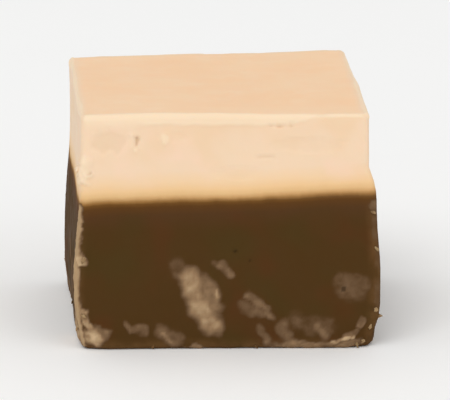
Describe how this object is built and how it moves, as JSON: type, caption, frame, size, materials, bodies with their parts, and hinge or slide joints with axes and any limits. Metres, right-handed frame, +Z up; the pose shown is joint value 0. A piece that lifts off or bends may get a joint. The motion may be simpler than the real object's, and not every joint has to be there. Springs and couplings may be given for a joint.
{
  "type": "fudge cube",
  "caption": "Hand-cut block of layered fudge, dark chocolate below and pale cream-coloured fudge on top.",
  "frame": {"origin": "under the middle of the block's bounding box, on the plane of its flat underside", "axes": "+Z up from the underside to the top of the pale layer; the front cut wall looks towards -Y; +X runs along the front wall, which is the block's longest side"},
  "size_m": [0.0314, 0.0278, 0.0242],
  "materials": {
    "chocolate_fudge": "satin",
    "pale_fudge": "satin"
  },
  "bodies": {
    "root": {"chocolate_layer": "chocolate_fudge", "pale_layer": "pale_fudge"}
  },
  "joints": []
}
